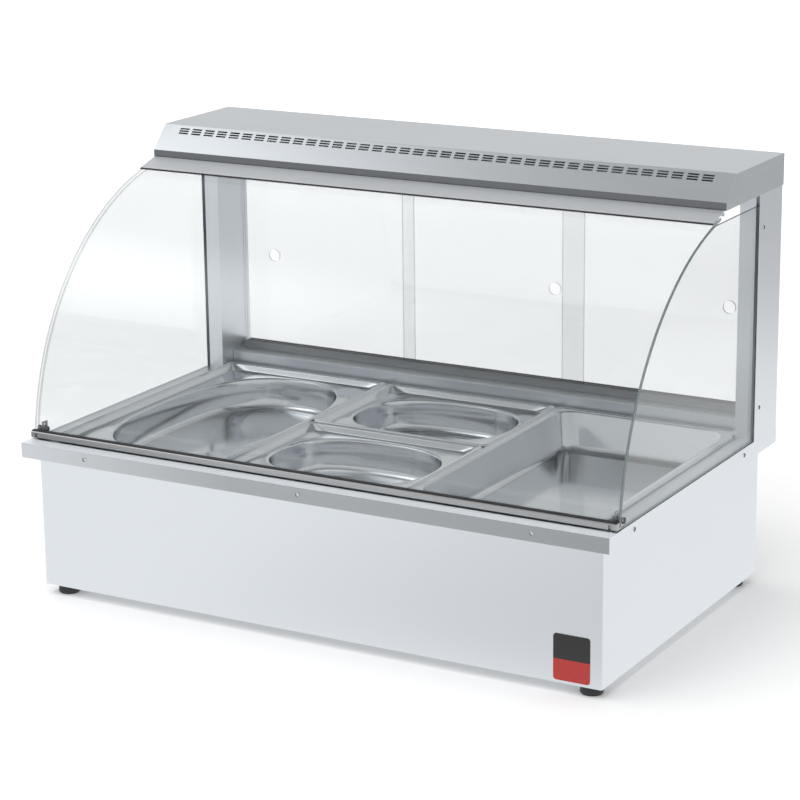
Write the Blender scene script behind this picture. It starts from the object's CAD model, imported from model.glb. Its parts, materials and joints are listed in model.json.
import json
import math
import bpy
import bmesh
from mathutils import Matrix, Vector


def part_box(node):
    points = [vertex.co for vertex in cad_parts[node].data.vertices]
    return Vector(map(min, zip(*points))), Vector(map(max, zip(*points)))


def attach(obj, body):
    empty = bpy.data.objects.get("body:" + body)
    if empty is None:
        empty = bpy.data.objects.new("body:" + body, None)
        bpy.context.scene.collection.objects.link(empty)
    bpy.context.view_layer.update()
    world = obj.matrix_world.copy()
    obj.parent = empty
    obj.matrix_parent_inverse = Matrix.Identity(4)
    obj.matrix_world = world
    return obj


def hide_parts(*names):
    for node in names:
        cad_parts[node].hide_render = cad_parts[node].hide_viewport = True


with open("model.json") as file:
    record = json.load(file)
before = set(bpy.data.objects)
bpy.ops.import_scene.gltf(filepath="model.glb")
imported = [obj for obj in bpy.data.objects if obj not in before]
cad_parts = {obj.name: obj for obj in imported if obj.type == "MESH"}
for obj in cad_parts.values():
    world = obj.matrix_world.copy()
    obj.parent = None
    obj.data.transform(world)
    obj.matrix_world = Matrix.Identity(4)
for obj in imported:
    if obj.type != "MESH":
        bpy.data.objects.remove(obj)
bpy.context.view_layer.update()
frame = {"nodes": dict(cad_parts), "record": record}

nodes = frame["nodes"]
scene = bpy.context.scene
print("stage: frame loaded,", len(nodes), "nodes")


# shader helpers

class Wire:                                            # a socket that can be used in sums
    def __init__(self, tree, socket):
        self.tree, self.socket = tree, socket

    def math(self, kind, first, second):
        return addNode(self.tree, "ShaderNodeMath", {"operation": kind}, {0: first, 1: second})

    def __add__(self, other): return self.math("ADD", self, other)
    def __radd__(self, other): return self.math("ADD", other, self)
    def __sub__(self, other): return self.math("SUBTRACT", self, other)
    def __rsub__(self, other): return self.math("SUBTRACT", other, self)
    def __mul__(self, other): return self.math("MULTIPLY", self, other)
    def __rmul__(self, other): return self.math("MULTIPLY", other, self)
    def __gt__(self, other): return self.math("GREATER_THAN", self, other)
    def __lt__(self, other): return self.math("LESS_THAN", self, other)


def addNode(tree, kind, settings=None, inputs=None, out=0):
    node = tree.nodes.new(kind)
    for name, value in (settings or {}).items():
        if name == "stops":
            ramp = node.color_ramp
            while len(ramp.elements) < len(value):
                ramp.elements.new(0.5)
            for element, (place, colour) in zip(ramp.elements, value):
                element.position, element.color = place, colour
        else:
            setattr(node, name, value)
    for name, value in (inputs or {}).items():
        socket = node.inputs[name]
        if isinstance(value, Wire):
            tree.links.new(value.socket, socket)
        else:
            socket.default_value = value
    return Wire(tree, node.outputs[out] if len(node.outputs) else None)


def newMaterial(name):
    material = bpy.data.materials.new(name)
    material.use_nodes = True
    material.node_tree.nodes.clear()
    return material, material.node_tree


def finishMaterial(tree, shader):
    addNode(tree, "ShaderNodeOutputMaterial", None, {"Surface": shader})


def placeOf(tree):                                     # object coordinates, split in three
    vector = addNode(tree, "ShaderNodeTexCoord", None, None, 3)
    split = addNode(tree, "ShaderNodeSeparateXYZ", None, {0: vector})
    parts = [Wire(tree, split.socket.node.outputs[i]) for i in range(3)]
    return vector, parts


def normalOf(tree):
    vector = addNode(tree, "ShaderNodeNewGeometry", None, None, 1)
    split = addNode(tree, "ShaderNodeSeparateXYZ", None, {0: vector})
    return [addNode(tree, "ShaderNodeMath", {"operation": "ABSOLUTE"},
                    {0: Wire(tree, split.socket.node.outputs[i])}) for i in range(3)]


def joinVector(tree, x, y, z):
    return addNode(tree, "ShaderNodeCombineXYZ", None, {0: x, 1: y, 2: z})


def noise(tree, vector, scale, detail=2.0, rough=0.5):
    return addNode(tree, "ShaderNodeTexNoise", None,
                   {"Vector": vector, "Scale": scale, "Detail": detail, "Roughness": rough})


def mixColour(tree, factor, first, second):
    return addNode(tree, "ShaderNodeMix", {"data_type": "RGBA"}, {0: factor, 6: first, 7: second}, 2)


def shade(grey, warmth=0.0):
    return (grey * (1 + warmth), grey, grey * (1 - warmth), 1)


# materials

sideOn, frontOn = 0.7, 0.8                             # a face counts as facing X, or Y and Z, above these
steelPlan = {"fine": 900.0, "coarse": 5.0, "dark": 0.88, "light": 1.10, "bumpDepth": 0.0004,
             "streakRough": 0.22, "patchRough": 0.06, "liftFrom": 0.12, "liftRate": -2.4,
             "stripTone": 0.96, "stripScatter": 0.55}


def brushedSteel(name, grey, rough, grain=0.10, warmth=-0.045, bump=0.02, cloud=0.05, frontTone=1.0,
                 frontTo=1.0, stripTo=None, leftLift=0.0, metal=1.0,
                 endTone=1.0):
    material, tree = newMaterial(name)
    vector, (x, y, z) = placeOf(tree)
    side, front, top = normalOf(tree)
    fine, coarse = steelPlan["fine"], steelPlan["coarse"]
    endFace = side > sideOn                            # grain runs along X, on the ends along Y
    along = joinVector(tree, x * coarse, y * (fine - endFace * (fine - coarse)), z * fine)
    streak = noise(tree, along, 1.0, 3.0, 0.65)
    patch = noise(tree, vector, 3.0, 2.0)
    level = (streak - 0.5) * grain + (patch - 0.5) * cloud
    colour = mixColour(tree, level + 0.5, shade(grey * steelPlan["dark"], warmth),
                       shade(grey * steelPlan["light"], warmth))
    if frontTone < 1.0:                                # faces to the front are brushed the other way
        plain = shade(grey * frontTone, warmth)
        if leftLift:                                   # the left end catches more of the light
            lift = (x + steelPlan["liftFrom"]) * steelPlan["liftRate"]
            plain = mixColour(tree, lift, plain, shade(grey * (frontTone + leftLift), warmth))
        colour = mixColour(tree, (front > frontOn) * (y < frontTo), colour, plain)
    if endTone < 1.0:
        colour = mixColour(tree, endFace, colour, shade(grey * endTone, warmth))
    normal = addNode(tree, "ShaderNodeBump", None, {
        "Strength": bump, "Distance": steelPlan["bumpDepth"], "Height": streak})
    if stripTo:                                        # cross-brushed strip that scatters more light
        strip = (top > frontOn) * (y < stripTo)
        metal = 1.0 - strip * steelPlan["stripScatter"]
        colour = mixColour(tree, strip, colour, shade(steelPlan["stripTone"], warmth))
    worn = (streak - 0.5) * steelPlan["streakRough"] + rough + (patch - 0.5) * steelPlan["patchRough"]
    finishMaterial(tree, addNode(tree, "ShaderNodeBsdfPrincipled", None, {
        "Base Color": colour, "Metallic": metal, "Roughness": worn, "Normal": normal}))
    return material


def polishedSteel(name, grey, rough, warmth=-0.035, rimShade=0.0):
    material, tree = newMaterial(name)
    vector, parts = placeOf(tree)
    patch = noise(tree, vector, 9.0, 3.0)
    colour = mixColour(tree, patch, shade(grey * 0.93, warmth), shade(grey * 1.05, warmth))
    if rimShade:                                       # small domes darken towards their outline
        facing = addNode(tree, "ShaderNodeLayerWeight", None, {"Blend": 0.5}, 1)
        colour = mixColour(tree, facing * 5.0 - 1.0, colour, shade(grey * rimShade, warmth))
    normal = addNode(tree, "ShaderNodeBump", None, {"Strength": 0.02, "Distance": 0.001, "Height": patch})
    finishMaterial(tree, addNode(tree, "ShaderNodeBsdfPrincipled", None, {
        "Base Color": colour, "Metallic": 1.0, "Roughness": rough + (patch - 0.5) * 0.10,
        "Normal": normal}))
    return material


glassPlan = {"power": 5.0, "headOn": 0.04, "polish": 0.01, "smear": 0.02, "smearScale": 2.5,
             "rimFrom": 0.3, "rimFar": 0.4, "rimNear": 0.45, "rimRough": 0.15}


def clearGlass(name, tint, edgeTint, edgeMask):
    material, tree = newMaterial(name)
    vector, parts = placeOf(tree)
    smear = noise(tree, vector, glassPlan["smearScale"], 2.0)
    edge = edgeMask(normalOf(tree))
    facing = addNode(tree, "ShaderNodeLayerWeight", None, {"Blend": 0.5}, 1)
    headOn = glassPlan["headOn"]                       # share mirrored when seen square on
    fresnel = facing.math("POWER", facing, glassPlan["power"]) * (1 - headOn) + headOn
    body = addNode(tree, "ShaderNodeBsdfTransparent", None, {"Color": tint})
    shine = addNode(tree, "ShaderNodeBsdfPrincipled", None, {
        "Base Color": (0.9, 0.92, 0.92, 1), "Metallic": 1.0,
        "Roughness": smear * glassPlan["smear"] + glassPlan["polish"]})
    face = addNode(tree, "ShaderNodeMixShader", None, {0: fresnel, 1: body, 2: shine})
    nearRim = parts[0] > glassPlan["rimFrom"]          # the far rim only shows through the pane
    rim = addNode(tree, "ShaderNodeBsdfPrincipled", None, {
        "Base Color": mixColour(tree, smear, edgeTint, tuple(c * 0.8 for c in edgeTint[:3]) + (1,)),
        "Roughness": glassPlan["rimRough"], "Alpha": nearRim * glassPlan["rimNear"] + glassPlan["rimFar"]})
    finishMaterial(tree, addNode(tree, "ShaderNodeMixShader", None, {0: edge, 1: face, 2: rim}))
    return material


def frontGlassEdge(normal):                            # the two end faces of the curved sheet
    return normal[0] > sideOn


def endGlassEdge(normal):                              # everything but the two big faces
    return normal[0] < sideOn


def doorEdge(normal):
    return normal[1] < sideOn


def moulded(name, colour, rough, scale=240.0, bump=0.10, spread=0.25, coat=0.0):
    material, tree = newMaterial(name)
    vector, parts = placeOf(tree)
    grain = noise(tree, vector, scale, 3.0)
    patch = noise(tree, vector, 14.0, 2.0)
    dark = tuple(c * (1 - spread) for c in colour) + (1,)
    light = tuple(min(1.0, c * (1 + spread)) for c in colour) + (1,)
    normal = addNode(tree, "ShaderNodeBump", None, {"Strength": bump, "Distance": 0.0006, "Height": grain})
    finishMaterial(tree, addNode(tree, "ShaderNodeBsdfPrincipled", None, {
        "Base Color": mixColour(tree, patch * 0.6 + grain * 0.4, dark, light),
        "Roughness": (grain - 0.5) * 0.15 + rough, "Coat Weight": coat, "Normal": normal}))
    return material


def badgeMaterial(name, low, high):                    # plain plate: black over a red band
    material, tree = newMaterial(name)
    vector, (x, y, z) = placeOf(tree)
    grain = noise(tree, vector, 40.0, 2.0)
    redShare = 0.46
    band = z < low[2] + (high[2] - low[2]) * redShare
    colour = mixColour(tree, band, (0.006, 0.006, 0.007, 1), (0.42, 0.012, 0.008, 1))
    finishMaterial(tree, addNode(tree, "ShaderNodeBsdfPrincipled", None, {
        "Base Color": mixColour(tree, grain * 0.02, colour, (0.05, 0.02, 0.02, 1)),
        "Roughness": grain * 0.1 + 0.22, "Coat Weight": 0.4}))
    return material


materials = {
    "satin_steel": brushedSteel("satinSteel", 0.80, 0.36),
    "deck_steel": brushedSteel("deckSteel", 0.80, 0.36, frontTone=0.54, stripTo=-0.2945, leftLift=0.30),
    "hood_steel": brushedSteel("hoodSteel", 0.80, 0.34, frontTone=0.21, frontTo=0.12, endTone=0.83),
    "pan_steel": polishedSteel("panSteel", 0.72, 0.12),
    "trim_steel": brushedSteel("trimSteel", 0.84, 0.44, 0.2, -0.03, metal=0.82),
    "rail_steel": brushedSteel("railSteel", 0.45, 0.36, 0.2, -0.01, frontTone=0.96, leftLift=-0.42),
    "inner_steel": brushedSteel("innerSteel", 0.62, 0.42),
    "reflector_steel": polishedSteel("reflectorSteel", 0.9, 0.10),
    "screw_steel": polishedSteel("screwSteel", 0.80, 0.22, rimShade=0.03),
    "track_aluminium": brushedSteel("trackAluminium", 0.30, 0.38, 0.15, -0.02),
    "lamp_glass": moulded("lampGlass", (0.9, 0.88, 0.80), 0.25, 500.0, 0.02, 0.05, 0.5),
    "black_rubber": moulded("blackRubber", (0.022, 0.022, 0.024), 0.62, 380.0, 0.2),
    "black_plastic": moulded("blackPlastic", (0.025, 0.025, 0.028), 0.38, 420.0, 0.12),
    "red_plastic": moulded("redPlastic", (0.50, 0.03, 0.02), 0.22, 300.0, 0.03, 0.12, 0.5),
    "amber_lens": moulded("amberLens", (0.80, 0.30, 0.04), 0.12, 200.0, 0.02, 0.15, 0.8),
    "ceramic": moulded("ceramic", (0.80, 0.77, 0.70), 0.30, 260.0, 0.05, 0.06, 0.3),
    "heater_sheath": moulded("heaterSheath", (0.16, 0.12, 0.10), 0.45, 320.0, 0.15, 0.35),
    "insulation": moulded("insulationBlanket", (0.62, 0.56, 0.42), 0.9, 130.0, 0.6, 0.25),
    "control_plastic": moulded("controlPlastic", (0.66, 0.63, 0.56), 0.45, 300.0, 0.08, 0.1),
    "wire": moulded("wireSleeve", (0.50, 0.05, 0.03), 0.5, 200.0, 0.05, 0.15),
    "badge_black": badgeMaterial("plainBadge", *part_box("name_plate")),
}
frontTint = (0.956, 0.963, 0.965, 1)
endTint = (0.964, 0.970, 0.972, 1)
doorTint = (0.952, 0.957, 0.960, 1)
greenEdge = (0.15, 0.20, 0.205, 1)
glassMaterials = {
    "front_glass": clearGlass("curvedGlass", frontTint, greenEdge, frontGlassEdge),
    "side_glass": clearGlass("endGlass", endTint, greenEdge, endGlassEdge),
    "door": clearGlass("doorGlass", doorTint, (0.26, 0.30, 0.30, 1), doorEdge),
}


def materialFor(nodeName, slotName):
    if nodeName in ("glass_bottom_rail", "hinge_brackets"):
        return materials["rail_steel"]
    if nodeName in ("deck", "hood_shell"):
        return materials[nodeName.split("_")[0] + "_steel"]
    if slotName != "glass":
        return materials[slotName]
    key = next(k for k in glassMaterials if k in nodeName)
    return glassMaterials[key]


slotOf = {part["node"]: part["material_slot"] for part in frame["record"]["subparts"]}
for name, item in nodes.items():
    finish = materialFor(name, slotOf[name])
    for index in range(len(item.material_slots)):
        item.material_slots[index].material = finish
print("stage: materials on the frame")


# finished pieces

bodyOf = {node: body for body, group in frame["record"]["behaviour"]["bodies"].items() for node in group}


def deselectAll():
    if bpy.context.object and bpy.context.object.mode != "OBJECT":
        bpy.ops.object.mode_set(mode="OBJECT")
    bpy.ops.object.select_all(action="DESELECT")


def editAll(item):
    deselectAll()
    item.select_set(True)
    bpy.context.view_layer.objects.active = item
    bpy.ops.object.mode_set(mode="EDIT")
    bpy.ops.mesh.select_all(action="SELECT")


def applyModifier(item, kind, **settings):
    bpy.context.view_layer.objects.active = item
    modifier = item.modifiers.new(kind.lower(), kind)
    for name, value in settings.items():
        setattr(modifier, name, value)
    bpy.ops.object.modifier_apply(modifier=modifier.name)


def smoothByAngle(item, degrees=35):
    deselectAll()
    item.select_set(True)
    bpy.context.view_layer.objects.active = item
    bpy.ops.object.shade_smooth_by_angle(angle=math.radians(degrees))


def settle(item, name, finish, body, standsFor=()):
    deselectAll()
    item.name = name
    item.data.name = name
    item.data.materials.clear()
    item.data.materials.append(finish)
    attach(item, body)
    if standsFor:
        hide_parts(*standsFor)
    return item


def copyNode(nodeName):                                # a loose copy with its corners merged
    deselectAll()
    nodes[nodeName].select_set(True)
    bpy.context.view_layer.objects.active = nodes[nodeName]
    bpy.ops.object.duplicate()
    item = bpy.context.object
    item.parent = None
    for key in list(item.keys()):
        del item[key]
    editAll(item)
    bpy.ops.mesh.remove_doubles(threshold=0.00002)
    bpy.ops.mesh.tris_convert_to_quads(face_threshold=math.radians(1), shape_threshold=math.radians(180))
    bpy.ops.object.mode_set(mode="OBJECT")
    return item


softAngle = 38
softEdges = {                                          # node: piece name, edge radius, segments
    "base_shell": ("baseWrap", 0.0010, 2),
    "deck": ("deckPan", 0.0009, 2),
    "hood_shell": ("hoodWrap", 0.0004, 2),
    "left_post": ("leftPostTube", 0.0009, 2),
    "right_post": ("rightPostTube", 0.0009, 2),
    "rear_ledge": ("rearLedgeStep", 0.0010, 2),
    "rear_panel": ("rearControlPanel", 0.0006, 1),
    "glass_bottom_rail": ("glassRail", 0.0006, 2),
    "glass_top_trim": ("glassTrim", 0.0006, 2),
    "hinge_brackets": ("endBrackets", 0.0004, 2),
    "glass_bolts": ("endGlassBolts", 0.0005, 2),
    "feet": ("rubberFeet", 0.0010, 2),
    "name_plate": ("plainPlate", 0.0005, 2),
    "lower_door_track": ("lowerTrack", 0.0003, 1),
    "power_rocker": ("powerRocker", 0.0005, 2),
    "front_glass": ("curvedPane", 0.0, 0),
}


def softenNode(nodeName, plan):
    pieceName, width, segments = plan
    item = copyNode(nodeName)
    if width:
        applyModifier(item, "BEVEL", width=width, segments=segments, limit_method="ANGLE",
                      angle_limit=math.radians(softAngle), use_clamp_overlap=True, miter_outer="MITER_ARC")
    smoothByAngle(item, softAngle)
    applyModifier(item, "WEIGHTED_NORMAL", keep_sharp=True, weight=80)
    return settle(item, pieceName, materialFor(nodeName, slotOf[nodeName]), bodyOf[nodeName],
                  [nodeName])


for nodeName, plan in softEdges.items():
    softenNode(nodeName, plan)
print("stage: sheet edges softened")


# food pans: rings from the rim down into the bowl, all with the same number of points

panPlan = {
    "quarter": 24, "cornerShare": (0.33, 0.67), "wall": 0.0008, "ovalPower": 2.6, "smooth": 50,
    "floorShare": 0.55, "floorDip": 0.0001,
    "rim": [(0.0, -6.0, 12), (0.0, -2.0, 12), (0.25, -0.9, 11.8), (0.9, -0.25, 11.3), (1.8, 0.0, 10.6),
            (3.4, 0.0, 9.8), (4.4, -0.35, 9.2), (5.0, -1.0, 8.9), (5.9, -1.3, 8.6), (8.0, -1.3, 8.0)],
    "shelfWall": [(8.8, -1.6, 8.0), (9.4, -2.4, 8.4), (12.4, -9.6, 26.0), (13.2, -10.6, 27.0),
                  (14.4, -11.0, 28.0)],
    "ovalLip": [(6.5, -11.0), (4.6, -10.7), (2.6, -10.6), (0.9, -11.2), (0.0, -12.3), (-0.5, -14.0)],
    "ovalBowl": [(-2.0, -34.0), (-3.6, -54.0), (-6.5, -60.5), (-12.0, -64.0), (-20.0, -65.2)],
    "squareBowl": [(11.2, -1.5, 27.0), (12.3, -2.2, 28.0), (13.0, -4.0, 28.5), (20.6, -55.0, 30.0),
                   (23.6, -61.5, 28.0), (29.0, -64.6, 24.0), (37.0, -65.2, 20.0)],
}


def rectPoint(u, halfX, halfY, radius):
    first, last = panPlan["cornerShare"]
    if u < first:
        return halfX, (halfY - radius) * u / first
    if u > last:
        return (halfX - radius) * (1 - u) / (1 - last), halfY
    turn = math.pi / 2 * (u - first) / (last - first)
    return halfX - radius + radius * math.cos(turn), halfY - radius + radius * math.sin(turn)


def ovalPoint(u, halfX, halfY, radius):
    power, turn = 2 / panPlan["ovalPower"], math.pi / 2 * u
    return halfX * math.cos(turn) ** power, halfY * math.sin(turn) ** power


def ringPoints(shape, centre, halfX, halfY, radius, z):
    count, points = panPlan["quarter"], []
    for step in range(4 * count):
        quarter, place = divmod(step, count)
        u = place / count
        x, y = shape(u if quarter % 2 == 0 else 1 - u, halfX, halfY, radius)
        points.append(Vector((centre[0] + (x if quarter in (0, 3) else -x),
                              centre[1] + (y if quarter in (0, 1) else -y), z)))
    return points


def placeSelected(item, before, points):               # moves each point of a ring to its next place
    mesh = bmesh.from_edit_mesh(item.data)
    nextPlace = {tuple(round(c, 5) for c in old): new for old, new in zip(before, points)}
    for vert in mesh.verts:
        if vert.select:
            vert.co = nextPlace[tuple(round(c, 5) for c in vert.co)]
    bmesh.update_edit_mesh(item.data)


def loftRings(rings):
    deselectAll()
    bpy.ops.mesh.primitive_circle_add(vertices=len(rings[0]), radius=0.1, location=(0, 0, 0))
    item = bpy.context.object
    first = [vert.co.copy() for vert in item.data.vertices]
    editAll(item)
    placeSelected(item, first, rings[0])
    for before, ring in zip(rings, rings[1:]):
        bpy.ops.mesh.extrude_region_move()
        placeSelected(item, before, ring)
    bpy.ops.mesh.extrude_region_move()
    bpy.ops.mesh.merge(type="CENTER")
    bpy.ops.object.mode_set(mode="OBJECT")
    return item


def makePan(nodeName, pieceName, bowl):
    low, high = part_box(nodeName)
    centre = ((low.x + high.x) / 2, (low.y + high.y) / 2)
    halfX, halfY, top, mm = (high.x - low.x) / 2, (high.y - low.y) / 2, high.z, 0.001
    square = panPlan["rim"] + (panPlan["shelfWall"] if bowl else panPlan["squareBowl"])
    rings = [ringPoints(rectPoint, centre, halfX - inset * mm, halfY - inset * mm, radius * mm, top + z * mm)
             for inset, z, radius in square]
    for out, z in (panPlan["ovalLip"] + panPlan["ovalBowl"]) if bowl else []:
        ovalX, ovalY = ((size / 2 + out) * mm for size in bowl)
        rings.append(ringPoints(ovalPoint, centre, ovalX, ovalY, 0, top + z * mm))
    floorHeight = rings[-1][0].z
    middle = Vector((centre[0], centre[1], floorHeight))
    dip = Vector((0, 0, panPlan["floorDip"]))
    rings.append([middle + (point - middle) * panPlan["floorShare"] - dip for point in rings[-1]])
    item = loftRings(rings)
    editAll(item)
    bpy.ops.mesh.normals_make_consistent(inside=False)
    bpy.ops.object.mode_set(mode="OBJECT")
    if sum(face.normal.z * face.area for face in item.data.polygons) < 0:
        editAll(item)
        bpy.ops.mesh.flip_normals()
        bpy.ops.object.mode_set(mode="OBJECT")
    applyModifier(item, "SOLIDIFY", thickness=panPlan["wall"], offset=-1.0)
    smoothByAngle(item, panPlan["smooth"])
    return settle(item, pieceName, materials["pan_steel"], bodyOf[nodeName], [nodeName])


makePan("left_pan", "leftFoodPan", (276, 472))
makePan("middle_rear_pan", "middleRearFoodPan", (276, 204))
makePan("middle_front_pan", "middleFrontFoodPan", (276, 204))
makePan("right_pan", "rightFoodPan", None)
print("stage: food pans")


# cross-head screws, one made and then copied to each place

screwPlan = {"sides": 28, "edge": 0.3, "dome": [(0.10, 0.28), (0.18, 0.22), (0.22, 0.14), (0.22, 0.06)],
             "crossWidth": 0.22, "crossLength": 1.15, "crossDepth": 0.85,
             "crossTurn": 0.4, "shankShare": 0.55, "smooth": 30}


def makeScrew(headRadius, headHeight, shankRadius, shankLength):
    deselectAll()
    edge = headHeight * screwPlan["edge"]
    bpy.ops.mesh.primitive_cylinder_add(vertices=screwPlan["sides"], radius=headRadius, depth=edge,
                                        location=(0, 0, edge / 2))
    screw = bpy.context.object
    bpy.ops.object.transform_apply(location=True, rotation=True, scale=True)
    editAll(screw)
    bpy.ops.mesh.select_mode(type="FACE")
    pickFaces(screw, lambda face: face.normal.z > 0.9)
    for share, rise in screwPlan["dome"]:
        bpy.ops.mesh.inset(thickness=headRadius * share, depth=headHeight * rise)
    pickFaces(screw, lambda face: face.normal.z < -0.9)
    bpy.ops.mesh.inset(thickness=headRadius - shankRadius)
    bpy.ops.mesh.extrude_region_move(TRANSFORM_OT_translate={"value": (0, 0, -shankLength)})
    bpy.ops.object.mode_set(mode="OBJECT")
    for turn in (0, math.pi / 2):
        bpy.ops.mesh.primitive_cube_add(size=1, location=(0, 0, headHeight),
                                        rotation=(0, 0, turn + screwPlan["crossTurn"]))
        bar = bpy.context.object
        bar.scale = (headRadius * screwPlan["crossLength"], headRadius * screwPlan["crossWidth"],
                     headHeight * screwPlan["crossDepth"] * 2)
        applyModifier(screw, "BOOLEAN", operation="DIFFERENCE", object=bar, solver="EXACT")
        bpy.data.objects.remove(bar)
    return screw


def pickFaces(item, wanted):
    bpy.ops.mesh.select_all(action="DESELECT")
    mesh = bmesh.from_edit_mesh(item.data)
    for face in mesh.faces:
        face.select = wanted(face)
    mesh.select_flush_mode()
    bmesh.update_edit_mesh(item.data)


def islandBoxes(nodeName):                             # box of every separate solid in a node
    mesh = bmesh.new()
    mesh.from_mesh(nodes[nodeName].data)
    bmesh.ops.remove_doubles(mesh, verts=mesh.verts, dist=0.00002)
    left, boxes = set(mesh.verts), []
    while left:
        stack, seen = [next(iter(left))], set()
        while stack:
            vert = stack.pop()
            if vert not in seen:
                seen.add(vert)
                stack += [edge.other_vert(vert) for edge in vert.link_edges]
        left -= seen
        boxes.append([Vector([pick(v.co[i] for v in seen) for i in range(3)]) for pick in (min, max)])
    mesh.free()
    return sorted(boxes, key=lambda corners: tuple(corners[0]))


def placeScrews(nodeName, pieceName, headHeight, shankLength):
    copies, master = [], None
    for low, high in islandBoxes(nodeName):
        size, middle = high - low, (low + high) / 2
        axis = max(range(3), key=lambda i: size[i])
        outward = Vector([0, 0, 0])
        outward[axis] = 1 if middle[axis] > 0 else -1
        headRadius = min(size[i] for i in range(3) if i != axis) / 2
        shankRadius = headRadius * screwPlan["shankShare"]
        master = master or makeScrew(headRadius, headHeight, shankRadius, shankLength)
        seat = middle.copy()
        seat[axis] = (high if outward[axis] > 0 else low)[axis] - outward[axis] * headHeight
        item = master.copy()
        item.data = master.data.copy()
        scene.collection.objects.link(item)
        turn = outward.to_track_quat("Z", "Y").to_matrix().to_4x4()
        item.data.transform(Matrix.Translation(seat) @ turn)
        copies.append(item)
    bpy.data.objects.remove(master)
    deselectAll()
    for item in copies:
        item.select_set(True)
    bpy.context.view_layer.objects.active = copies[0]
    bpy.ops.object.join()
    smoothByAngle(copies[0], screwPlan["smooth"])
    return settle(copies[0], pieceName, materials["screw_steel"], bodyOf[nodeName],
                  [nodeName])


placeScrews("deck_screws", "deckScrews", 0.0014, 0.0100)
placeScrews("post_screws", "postScrews", 0.0013, 0.0090)
print("stage: screws")


# knobs: fluted grip, white pointer, and a marked plate behind each

knobPlan = {
    "sides": 48, "fluteStep": 4, "flute": 0.0009, "faceInset": 0.003, "faceSink": 0.0006,
    "rounding": 0.0004, "smooth": 40, "plateSides": 72, "markReach": 0.5,
    "pointer": (0.0014, 0.0008, 0.0095), "plateMargin": 0.0085, "plateDepth": 0.0012,
    "marks": 11, "markSize": (0.0009, 0.0007, 0.0036), "sweep": 270.0,
}


def bevelBox(size, middle, width):
    deselectAll()
    bpy.ops.mesh.primitive_cube_add(size=1, location=middle)
    item = bpy.context.object
    item.scale = size
    bpy.ops.object.transform_apply(location=True, rotation=True, scale=True)
    applyModifier(item, "BEVEL", width=width, segments=2)
    return item


def joinAll(items):
    deselectAll()
    for item in items:
        item.select_set(True)
    bpy.context.view_layer.objects.active = items[0]
    bpy.ops.object.join()
    return items[0]


def turnedDisc(sides, radius, nearY, farY, middle):
    deselectAll()
    bpy.ops.mesh.primitive_cylinder_add(vertices=sides, radius=radius, depth=farY - nearY,
                                        location=(middle.x, (nearY + farY) / 2, middle.z),
                                        rotation=(math.pi / 2, 0, 0))
    item = bpy.context.object
    bpy.ops.object.transform_apply(location=True, rotation=True, scale=True)
    return item


def roundEdges(item, plan):
    applyModifier(item, "BEVEL", width=plan["rounding"], segments=2, limit_method="ANGLE",
                  angle_limit=math.radians(plan["smooth"]))
    smoothByAngle(item, plan["smooth"])


def makeKnob(nodeName, pieceName, plan):
    low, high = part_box(nodeName)
    middle, radius = (low + high) / 2, (high.x - low.x) / 2
    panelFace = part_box("rear_panel")[1].y
    knob = turnedDisc(plan["sides"], radius, low.y, high.y, middle)
    editAll(knob)
    bpy.ops.mesh.select_mode(type="FACE")

    def onFlute(face):
        turn = math.atan2(face.normal.x, face.normal.z) % (2 * math.pi)
        place = int(turn / (2 * math.pi) * plan["sides"] + 0.01)
        return abs(face.normal.y) < 0.1 and place % plan["fluteStep"] < plan["fluteStep"] / 2
    pickFaces(knob, onFlute)
    bpy.ops.mesh.extrude_region_shrink_fatten(TRANSFORM_OT_shrink_fatten={"value": -plan["flute"]})
    pickFaces(knob, lambda face: face.normal.y > 0.9 and len(face.verts) > 8)
    bpy.ops.mesh.inset(thickness=plan["faceInset"])
    bpy.ops.mesh.extrude_region_move(TRANSFORM_OT_translate={"value": (0, -plan["faceSink"], 0)})
    bpy.ops.object.mode_set(mode="OBJECT")
    roundEdges(knob, plan)
    body = bodyOf[nodeName]
    settle(knob, pieceName, materials["black_plastic"], body, [nodeName])
    width, depth, length = plan["pointer"]
    face = high.y - plan["faceSink"] + depth / 2
    reach = middle.z + radius - plan["faceInset"] - length / 2
    pointer = bevelBox((width, depth, length), (middle.x, face, reach), 0.0002)
    settle(pointer, pieceName + "Pointer", markWhite, body)
    plateRadius, plateTop = radius + plan["plateMargin"], panelFace + plan["plateDepth"]
    plate = turnedDisc(plan["plateSides"], plateRadius, panelFace, plateTop, middle)
    roundEdges(plate, plan)
    settle(plate, pieceName + "Plate", dialBlack, "case")
    marks, reach = [], radius + plan["plateMargin"] * plan["markReach"]
    for step in range(plan["marks"]):
        mark = bevelBox(plan["markSize"], (0, 0, reach), 0.00015)
        turn = math.radians(plan["sweep"]) * step / (plan["marks"] - 1)
        centre = Matrix.Translation((middle.x, plateTop, middle.z))
        mark.data.transform(centre @ Matrix.Rotation(turn, 4, "Y"))
        marks.append(mark)
    settle(joinAll(marks), pieceName + "Marks", markWhite, "case")


markWhite = moulded("markWhite", (0.82, 0.82, 0.80), 0.4, 400.0, 0.03, 0.04)
dialBlack = moulded("dialBlack", (0.03, 0.03, 0.033), 0.3, 350.0, 0.05, 0.2)
makeKnob("well_knob", "wellKnob", knobPlan)
makeKnob("overhead_knob", "overheadKnob", knobPlan)
print("stage: knobs and dials")


# dark lip of the seal along the front edge of the glass trim

sealPlan = {"depth": 0.0034, "thick": 0.0019, "slope": 0.28, "rounding": 0.0003}


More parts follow.
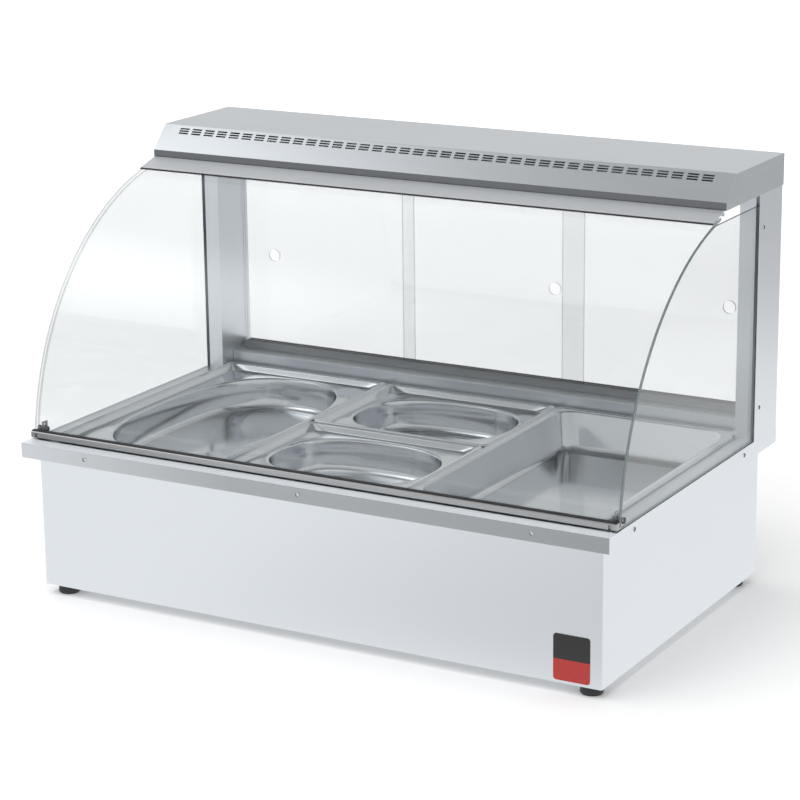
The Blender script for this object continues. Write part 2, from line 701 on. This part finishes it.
def makeTrimSeal(plan):
    low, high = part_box("trim_gasket")
    depth, thick = plan["depth"], plan["thick"]
    seal = bevelBox((high.x - low.x, depth, thick), (0, -depth / 2, thick / 2), plan["rounding"])
    corner = Matrix.Translation(((low.x + high.x) / 2, low.y, low.z))
    seal.data.transform(corner @ Matrix.Rotation(plan["slope"], 4, "X"))
    settle(seal, "trimSeal", materials["black_rubber"], bodyOf["trim_gasket"])


makeTrimSeal(sealPlan)
print("stage: trim seal")


# floor, light and camera

lightPlan = {
    "floorSize": 60.0, "floorGrey": 0.90, "nearGlow": 0.03, "farGlow": 0.32,
    "glowFrom": 1.6, "glowTo": 5.0,
    "sun": {"turn": (0.30, -0.22, 0.0), "angle": 1.3, "strength": 2.1},
    "sky": [(0.0, 1.0), (0.035, 0.90), (0.12, 0.80), (0.30, 0.72), (0.55, 0.60), (0.68, 0.54),
            (0.80, 0.27), (0.88, 0.28), (0.98, 0.8)],
    "glowCard": {"place": (-2.45, -1.2, 3.0), "aim": (-0.2, -0.1, 0.7), "size": 3.2, "strength": 2.3},
    "mirrorCard": {"size": 14.0, "height": 0.002, "left": 1.20, "right": 0.72, "near": 1.0, "far": 0.38,
                   "frontSpan": (-1.1, 0.5), "sideSpan": (0.8, 1.4), "farSpan": (1.3, 2.4),
                   "backSpan": (-0.55, -0.2)},
}


def makeMirrorCard(plan):                              # how bright the floor looks in the steel
    bpy.ops.mesh.primitive_plane_add(size=plan["size"], location=(0, 0, plan["height"]))
    card = bpy.context.object
    card.name = "mirrorCard"
    material, tree = newMaterial("mirrorTone")
    vector, (x, y, z) = placeOf(tree)

    def ramp(value, span, first, last):
        start, end = span
        return addNode(tree, "ShaderNodeMapRange", {"interpolation_type": "SMOOTHSTEP"}, {
            "Value": value, "From Min": start, "From Max": end, "To Min": first, "To Max": last})
    front = ramp(x, plan["frontSpan"], plan["left"], plan["right"])
    outward = ramp(x, plan["sideSpan"], 0.0, 1.0)
    beside = outward * ramp(y, plan["farSpan"], 0.0, plan["far"] - plan["near"]) + plan["near"]
    behind = ramp(y, plan["backSpan"], 0.0, 1.0)
    tone = front + (beside - front) * behind
    finishMaterial(tree, addNode(tree, "ShaderNodeEmission", None, {
        "Color": mixColour(tree, tone, shade(0.0), shade(1.0)), "Strength": 1.0}))
    onlyMirrored(card, material)


def onlyMirrored(card, material):
    card.data.materials.append(material)
    card.visible_camera = card.visible_diffuse = card.visible_shadow = False
    card.visible_transmission = card.visible_volume_scatter = False


def makeGlowCard(plan):                                # soft bright patch, mirrored in the slope of the hood
    bpy.ops.mesh.primitive_plane_add(size=plan["size"], location=plan["place"])
    card = bpy.context.object
    card.name = "glowCard"
    card.rotation_euler = (Vector(plan["aim"]) - Vector(plan["place"])).to_track_quat("-Z", "Y").to_euler()
    material, tree = newMaterial("softGlow")
    vector, parts = placeOf(tree)
    away = addNode(tree, "ShaderNodeVectorMath", {"operation": "LENGTH"}, {0: vector}, 1)
    fade = addNode(tree, "ShaderNodeMapRange", {"interpolation_type": "SMOOTHSTEP"}, {
        "Value": away, "From Min": 0.0, "From Max": plan["size"] / 2, "To Min": 1.0, "To Max": 0.0})
    clear = addNode(tree, "ShaderNodeBsdfTransparent")
    lit = addNode(tree, "ShaderNodeEmission", None, {"Color": shade(1.0), "Strength": plan["strength"]})
    finishMaterial(tree, addNode(tree, "ShaderNodeMixShader", None, {0: fade, 1: clear, 2: lit}))
    onlyMirrored(card, material)


def makeFloor():
    bpy.ops.mesh.primitive_plane_add(size=lightPlan["floorSize"], location=(0, 0, 0))
    floor = bpy.context.object
    floor.name = "floor"
    material, tree = newMaterial("paleFloor")
    vector, (x, y, z) = placeOf(tree)
    away = addNode(tree, "ShaderNodeVectorMath", {"operation": "LENGTH"}, {0: vector}, 1)
    glow = addNode(tree, "ShaderNodeMapRange", {"interpolation_type": "SMOOTHSTEP"}, {
        "Value": away, "From Min": lightPlan["glowFrom"], "From Max": lightPlan["glowTo"]})
    finishMaterial(tree, addNode(tree, "ShaderNodeBsdfPrincipled", None, {
        "Base Color": shade(lightPlan["floorGrey"]), "Roughness": 0.7, "Specular IOR Level": 0.1,
        "Emission Color": mixColour(tree, glow, shade(lightPlan["nearGlow"]), shade(lightPlan["farGlow"])),
        "Emission Strength": 1.0}))
    floor.data.materials.append(material)


def makeSun(plan):
    data = bpy.data.lights.new("softSun", "SUN")
    data.energy, data.angle = plan["strength"], plan["angle"]
    sun = bpy.data.objects.new("softSun", data)
    scene.collection.objects.link(sun)
    sun.rotation_euler = plan["turn"]
    sun.visible_glossy = False                         # it lights the floor, the steel mirrors the boxes


def makeWorld():
    world = bpy.data.worlds.new("studio")
    scene.world = world
    world.use_nodes = True
    tree = world.node_tree
    tree.nodes.clear()
    direction = addNode(tree, "ShaderNodeTexCoord", None, None, 0)
    split = addNode(tree, "ShaderNodeSeparateXYZ", None, {0: direction})
    height = Wire(tree, split.socket.node.outputs[2])
    sky = addNode(tree, "ShaderNodeValToRGB", {"stops": [(at, shade(grey)) for at, grey in lightPlan["sky"]]},
                  {0: height})
    light = addNode(tree, "ShaderNodeBackground", None, {"Color": sky, "Strength": 1.0})
    addNode(tree, "ShaderNodeOutputWorld", None, {"Surface": light})


cameraPlan = {"aim": (0.0017, 0.0, 0.3221), "distance": 4.2634, "azimuth": 29.62, "elevation": 15.62,
              "roll": 0.66, "lens": 118.26, "shift": (-0.0009, -0.0007)}


def makeCamera():
    azimuth, elevation = math.radians(cameraPlan["azimuth"]), math.radians(cameraPlan["elevation"])
    back = Vector((math.sin(azimuth) * math.cos(elevation), -math.cos(azimuth) * math.cos(elevation),
                   math.sin(elevation)))
    data = bpy.data.cameras.new("camera")
    data.lens, data.sensor_width = cameraPlan["lens"], 36.0
    data.shift_x, data.shift_y = cameraPlan["shift"]
    data.clip_end = 100
    camera = bpy.data.objects.new("camera", data)
    scene.collection.objects.link(camera)
    camera.location = Vector(cameraPlan["aim"]) + back * cameraPlan["distance"]
    turn = back.to_track_quat("Z", "Y").to_matrix()
    camera.rotation_euler = (turn @ Matrix.Rotation(math.radians(-cameraPlan["roll"]), 3, "Z")).to_euler()
    scene.camera = camera


makeFloor()
makeMirrorCard(lightPlan["mirrorCard"])
makeGlowCard(lightPlan["glowCard"])
makeSun(lightPlan["sun"])
makeWorld()
makeCamera()
scene.view_settings.view_transform = "Standard"
scene.view_settings.look = "None"
print("stage: floor, light and camera")
